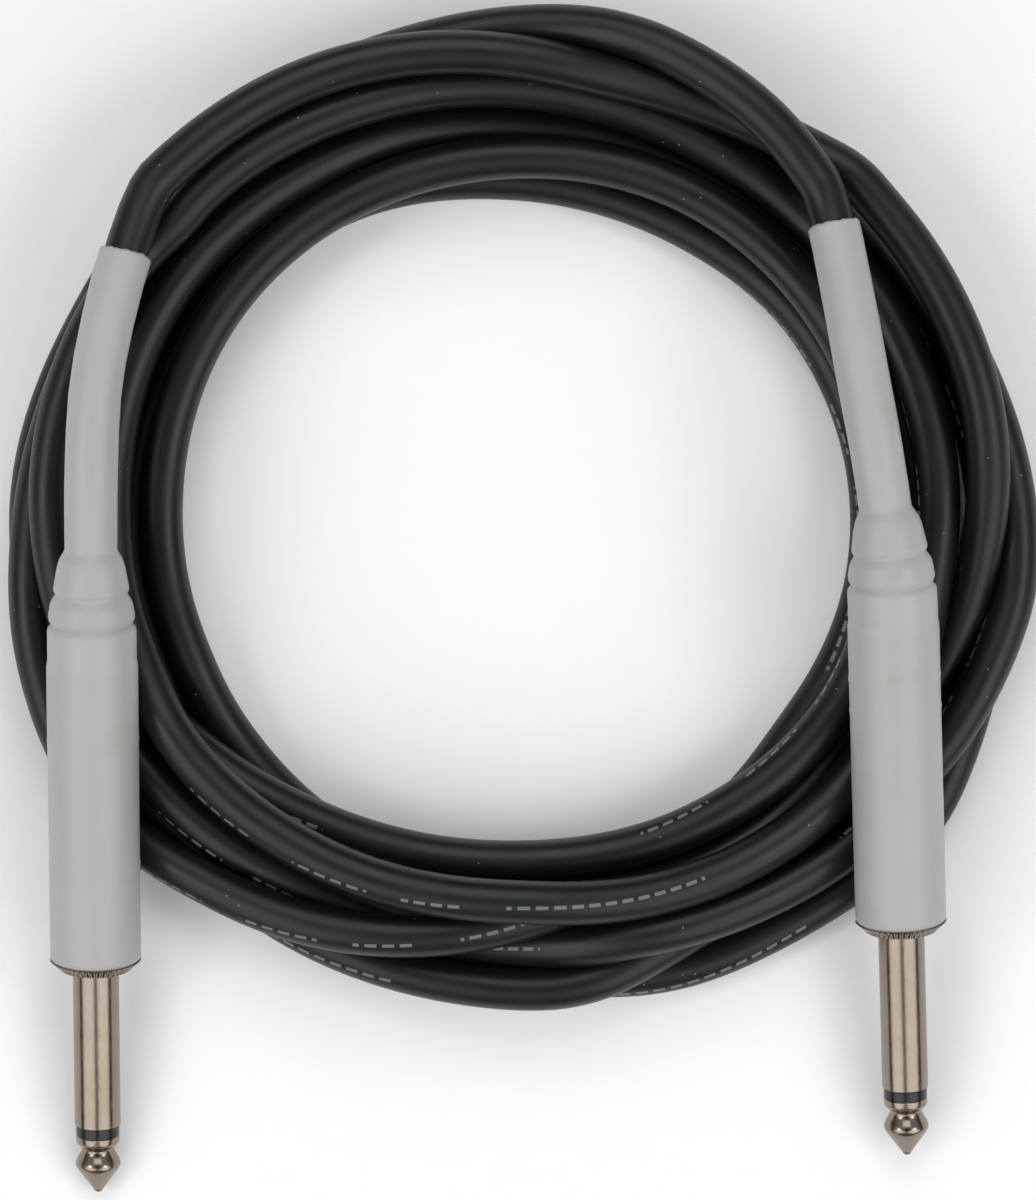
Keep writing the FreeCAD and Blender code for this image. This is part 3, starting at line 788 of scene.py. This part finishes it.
def bright_nickel():
    """Nickel plate on turned brass: mirror-like, warm, with faint drawn lines along the pin."""
    material, tree, shader = start_material("bright_nickel_plate", {"Metallic": 1.0})
    place = add_node(tree, PLACE).outputs["Object"]
    drawn = add_node(tree, "ShaderNodeMapping", {"Scale": (1.0, 0.03, 1.0)}, {"Vector": place})
    lines = {"Scale": 1 / (0.3 * MM), "Detail": 2.0}
    lines = add_node(tree, NOISE, lines, {"Vector": drawn.outputs[0]}).outputs["Fac"]
    haze = add_node(tree, NOISE, {"Scale": 1 / (5 * MM), "Detail": 3.0}, {"Vector": place})
    warm = {"data_type": "RGBA", 6: linear("#85796d"), 7: linear("#988c80")}
    colour = add_node(tree, MIX, warm, {0: haze.outputs["Fac"]})
    rough = add_node(tree, RANGE, {1: 0.3, 2: 0.7, 3: 0.16, 4: 0.26}, {0: lines})
    relief = add_node(tree, BUMP, {"Strength": 0.4, "Distance": 0.002 * MM}, {"Height": lines})
    link_up(
        tree, shader,
        {"Base Color": colour.outputs[2], "Roughness": rough.outputs[0], "Normal": relief.outputs[0]},
    )  # fmt: skip
    return material


def make_finishes():
    """One material for each finish, by the name of the record's slot."""
    metal = {"Metallic": 1.0}
    return {
        "cable_jacket": soft_vinyl(),
        "white_shrink_tubing": shrunk_tubing(),
        "nickel_plate": bright_nickel(),
        # Moulded acetal, glossy black.
        "black_acetal": grained(
            "black_acetal", ("#08090a", "#121314"), 2.0, 0.005, (0.18, 0.28), {"IOR": 1.48}
        ),
        # Stamped brass, tinned, a little dull.
        "tinned_brass": grained("tinned_brass", ("#b7b2a6", "#cdc9bf"), 1.5, 0.01, (0.28, 0.42), metal),
        # Pressed phenolic paper board, brown and matt.
        "phenolic_board": grained(
            "phenolic_board", ("#5b3a20", "#7a5230"), 0.8, 0.02, (0.55, 0.7), {"IOR": 1.6}
        ),
        # Solder that has flowed and set, bright with a slight orange peel.
        "solder": grained("solder", ("#a9adb2", "#c6c9cc"), 0.6, 0.04, (0.18, 0.35), metal),
        # Bare drawn copper strand.
        "copper": grained("bare_copper", ("#a85f3c", "#c47a52"), 0.4, 0.03, (0.25, 0.4), metal),
        # Natural polyethylene, milky.
        "core_plastic": grained(
            "milky_polyethylene", ("#dcd8cc", "#ebe8df"), 2.0, 0.01, (0.35, 0.5), {"IOR": 1.51}
        ),
        # Thin polyester film, pale and smooth.
        "liner_film": grained(
            "polyester_film", ("#d9d2bf", "#e6e0d0"), 3.0, 0.01, (0.2, 0.3), {"IOR": 1.6}
        ),
        # Flexible moulded plastic, black and matt.
        "relief_plastic": grained(
            "relief_plastic", ("#151617", "#202122"), 1.0, 0.02, (0.5, 0.6), {"IOR": 1.5}
        ),
    }


# The finish of each node that stays as the frame has it, or that a piece replaces
NODE_FINISH = {
    "cable_coil": "cable_jacket",
    "cable_end": "cable_jacket",
    "shrink_sleeve": "white_shrink_tubing",
    "sleeve_contact": "nickel_plate",
    "tip_contact": "nickel_plate",
    "handle": "nickel_plate",
    "tip_insulator": "black_acetal",
    "ground_lug": "tinned_brass",
    "tip_lug": "tinned_brass",
    "lug_washer": "phenolic_board",
    "tip_solder": "solder",
    "ground_solder": "solder",
    "conductor": "copper",
    "screen": "copper",
    "core_insulation": "core_plastic",
    "liner": "liner_film",
    "strain_relief": "relief_plastic",
}


def wear(obj, material):
    """Puts one material on an object."""
    if not obj.data.materials:
        obj.data.materials.append(material)
    for slot in obj.material_slots:
        slot.material = material


# ---- Floor, light and camera

VIEW_OFFSET = (0.0, -12.4)
CAMERA_HEIGHT = 750.0
LENS = 161.4
FLOOR_HALF = 1.5


def add_floor():
    """Pale matt table top, flat, centred on the origin."""
    mesh = bpy.data.meshes.new("table_top")
    corners = [(-FLOOR_HALF, -FLOOR_HALF, 0), (FLOOR_HALF, -FLOOR_HALF, 0)]
    corners += [(FLOOR_HALF, FLOOR_HALF, 0), (-FLOOR_HALF, FLOOR_HALF, 0)]
    mesh.from_pydata(corners, [], [(0, 1, 2, 3)])
    floor = bpy.data.objects.new("table_top", mesh)
    bpy.context.scene.collection.objects.link(floor)
    matt = {"Specular IOR Level": 0.2}
    wear(floor, grained("white_card", ("#fafafa", "#fdfdfd"), 4.0, 0.005, (0.8, 0.9), matt))


def add_light(name, place, size, power):
    """Square soft light at a place, aimed at the origin, in metres and watts."""
    lamp = bpy.data.lights.new(name, "AREA")
    lamp.shape = "SQUARE"
    lamp.size = size
    lamp.energy = power
    obj = bpy.data.objects.new(name, lamp)
    bpy.context.scene.collection.objects.link(obj)
    obj.location = place
    obj.rotation_euler = (-Vector(place)).to_track_quat("-Z", "Y").to_euler()


def add_room():
    """Soft white walls that grow dim and warm towards the horizon, under a dark ceiling."""
    world = bpy.data.worlds.new("studio")
    bpy.context.scene.world = world
    world.use_nodes = True
    tree = world.node_tree
    tree.nodes.clear()
    direction = add_node(tree, PLACE).outputs["Generated"]
    height = add_node(tree, "ShaderNodeSeparateXYZ", links={0: direction}).outputs[2]
    share = add_node(tree, RANGE, {1: 0.15, 2: 0.6, 3: 0.0, 4: 1.0}, {0: height})
    tones = {"data_type": "RGBA", 6: linear("#6f6058"), 7: linear("#f4f6fa")}
    walls = add_node(tree, MIX, tones, {0: share.outputs[0]})
    overhead = add_node(tree, RANGE, {1: 0.93, 2: 0.985, 3: 0.0, 4: 1.0}, {0: height})
    dark = {"data_type": "RGBA", 7: linear("#4a423e")}
    colour = add_node(tree, MIX, dark, {0: overhead.outputs[0], 6: walls.outputs[2]})
    sky = add_node(tree, "ShaderNodeBackground", {"Strength": 0.45}, {"Color": colour.outputs[2]})
    add_node(tree, "ShaderNodeOutputWorld", links={"Surface": sky.outputs[0]})


def add_camera():
    """Camera straight above the coil's lower half, with +Y up in the picture."""
    data = bpy.data.cameras.new("above")
    data.sensor_fit = "VERTICAL"
    data.sensor_height = 36.0
    data.lens = LENS
    camera = bpy.data.objects.new("above", data)
    middle = COIL_CENTRE[:2] + VIEW_OFFSET
    camera.location = (middle[0] * MM, middle[1] * MM, CAMERA_HEIGHT * MM)
    bpy.context.scene.collection.objects.link(camera)
    bpy.context.scene.camera = camera


finishes = make_finishes()
for name, node in frame["nodes"].items():
    wear(node, finishes[NODE_FINISH[name.removeprefix("left_").removeprefix("right_")]])
wear(cable(), finishes["cable_jacket"])
for side in SIDES:
    wear(shrunk_sleeve(side), finishes["white_shrink_tubing"])
    wear(pin(side), finishes["nickel_plate"])
    wear(insulator(side), finishes["black_acetal"])
    wear(tip(side), finishes["nickel_plate"])

add_floor()
add_room()
add_light("front_left", (-0.92, -0.7, 1.0), 1.3, 8.4)
add_light("front_right", (0.92, -0.7, 1.0), 1.3, 8.4)
add_light("back", (0.0, 0.85, 1.05), 0.9, 4.6)
add_light("left_box", (-0.8, 0.0, 0.95), 0.35, 1.5)
add_light("right_box", (0.8, 0.0, 0.95), 0.35, 1.5)
add_camera()
bpy.context.scene.view_settings.view_transform = "Standard"
